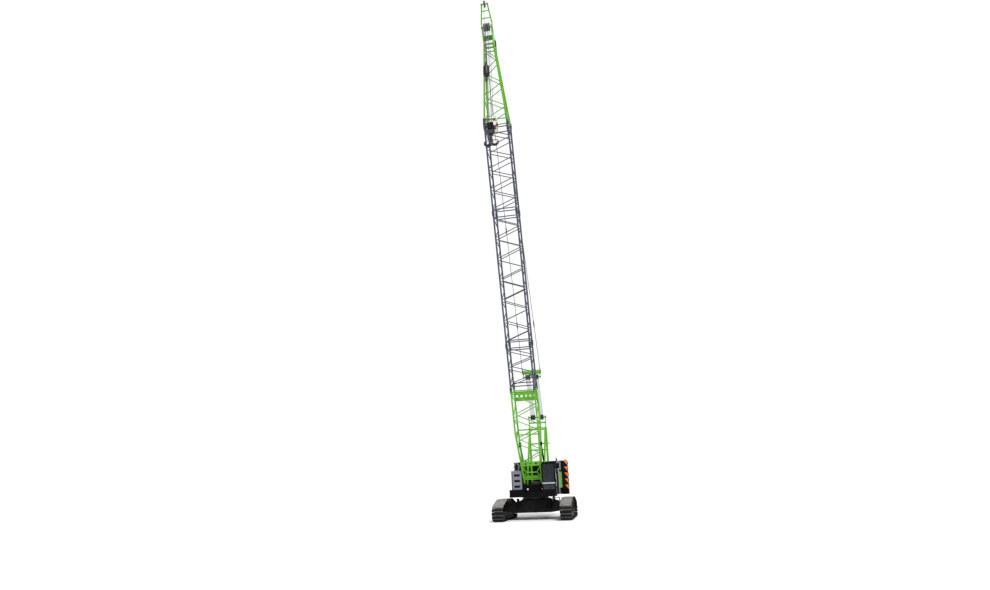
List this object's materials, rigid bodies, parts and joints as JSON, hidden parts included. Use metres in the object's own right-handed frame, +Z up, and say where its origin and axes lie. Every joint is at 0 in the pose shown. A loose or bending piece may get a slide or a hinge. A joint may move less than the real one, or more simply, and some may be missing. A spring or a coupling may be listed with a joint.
{
  "type": "crawler crane",
  "caption": "Crawler crane with a tapered lattice boom held by gantry, bridle and pendants, slewing upper works with cab and counterweight, striped main hook block and single-fall ball hook.",
  "frame": {"origin": "on the ground under the slewing axis", "axes": "+Z up, machine faces -Y, +X to its left where the cab is"},
  "size_m": [5.22, 17.1422, 33.2373],
  "materials": {
    "green": "gloss enamel",
    "insert": "satin blue-grey enamel",
    "black": "satin enamel",
    "grey": "satin enamel",
    "weight": "satin enamel with orange stripes",
    "glass": "tinted",
    "steel": "dull",
    "shoe": "worn",
    "sheave": "matte",
    "rope": "greased wire",
    "hook": "black forged",
    "stripe": "pale and dark stripes",
    "seat": "woven",
    "lamp": "clear lens"
  },
  "bodies": {
    "undercarriage": {"carbody": "black", "slew_ring": "steel", "lashing_eyes": "black", "track_left": "shoe", "track_right": "shoe", "track_frame_left": "black", "track_frame_right": "black", "running_gear_left": "steel", "running_gear_right": "steel", "final_drive_left": "steel", "final_drive_right": "steel"},
    "upper": {"cab_console": "seat", "cab_glass": "glass", "cab_seat": "seat", "cab_shell": "black", "counterweight_base": "black", "counterweight_slabs": "weight", "deck_box": "black", "engine_block": "steel", "exhaust": "steel", "foot_pins": "steel", "gantry_head": "green", "gantry_posts": "green", "gantry_sheaves": "sheave", "gantry_struts": "green", "grab_post": "grey", "hood_front": "grey", "house_left": "black", "house_right": "black", "lamps": "lamp", "mirror": "black", "side_panel": "green", "upper_frame": "black", "winch_drums": "steel", "winch_stands": "black"},
    "cab_door": {"cab_door": "black", "cab_door_glass": "glass"},
    "boom": {"boom_base": "green", "boom_insert_short": "insert", "boom_insert_long": "insert", "boom_insert_mid": "insert", "boom_tip": "green", "head_shaft": "steel", "runner": "green", "bridle": "green", "bridle_sheaves": "sheave", "pendants": "rope", "backstops": "black"},
    "luff_line": {"luff_falls": "rope"},
    "main_line": {"head_sheaves": "sheave", "main_falls": "rope"},
    "main_hook": {"hook_block": "stripe", "block_sheaves": "sheave", "main_hook": "hook"},
    "aux_line": {"runner_sheave": "sheave", "aux_fall": "rope"},
    "aux_hook": {"aux_ball": "hook"}
  },
  "joints": [
    {"name": "slew", "type": "hinge", "parent": "undercarriage", "child": "upper", "pos_m": [0, 0, 1.42], "axis": [0, 0, 1], "continuous": true},
    {"name": "boom_luff", "type": "hinge", "parent": "upper", "child": "boom", "pos_m": [0, -1.15, 2.4], "axis": [-1, 0, 0], "range_deg": [-41, 9]},
    {"name": "luff_line_run", "type": "slide", "parent": "boom", "child": "luff_line", "axis": [0, 0.496, -0.8683], "range_m": [-1, 4.5], "deforming": ["luff_falls"]},
    {"name": "main_hang", "type": "hinge", "parent": "boom", "child": "main_line", "pos_m": [0, -11.73428, 31.54178], "axis": [1, 0, 0], "range_deg": [-42, 10]},
    {"name": "main_hoist", "type": "slide", "parent": "main_line", "child": "main_hook", "axis": [0, 0, -1], "range_m": [-5, 21.2], "deforming": ["main_falls"]},
    {"name": "aux_hang", "type": "hinge", "parent": "boom", "child": "aux_line", "pos_m": [0, -12.23891, 33.00733], "axis": [1, 0, 0], "range_deg": [-42, 10]},
    {"name": "aux_hoist", "type": "slide", "parent": "aux_line", "child": "aux_hook", "axis": [0, 0, -1], "range_m": [-4, 26.5], "deforming": ["aux_fall"]},
    {"name": "cab_door_hinge", "type": "hinge", "parent": "upper", "child": "cab_door", "pos_m": [1.664, -1.16, 2.65], "axis": [0, 0, 1], "range_deg": [0, 95]}
  ],
  "couplings": [
    {"joint": "luff_line_run", "follows": "boom_luff", "m_per_rad": -6.2},
    {"joint": "main_hang", "follows": "boom_luff", "ratio": 1},
    {"joint": "aux_hang", "follows": "boom_luff", "ratio": 1}
  ]
}
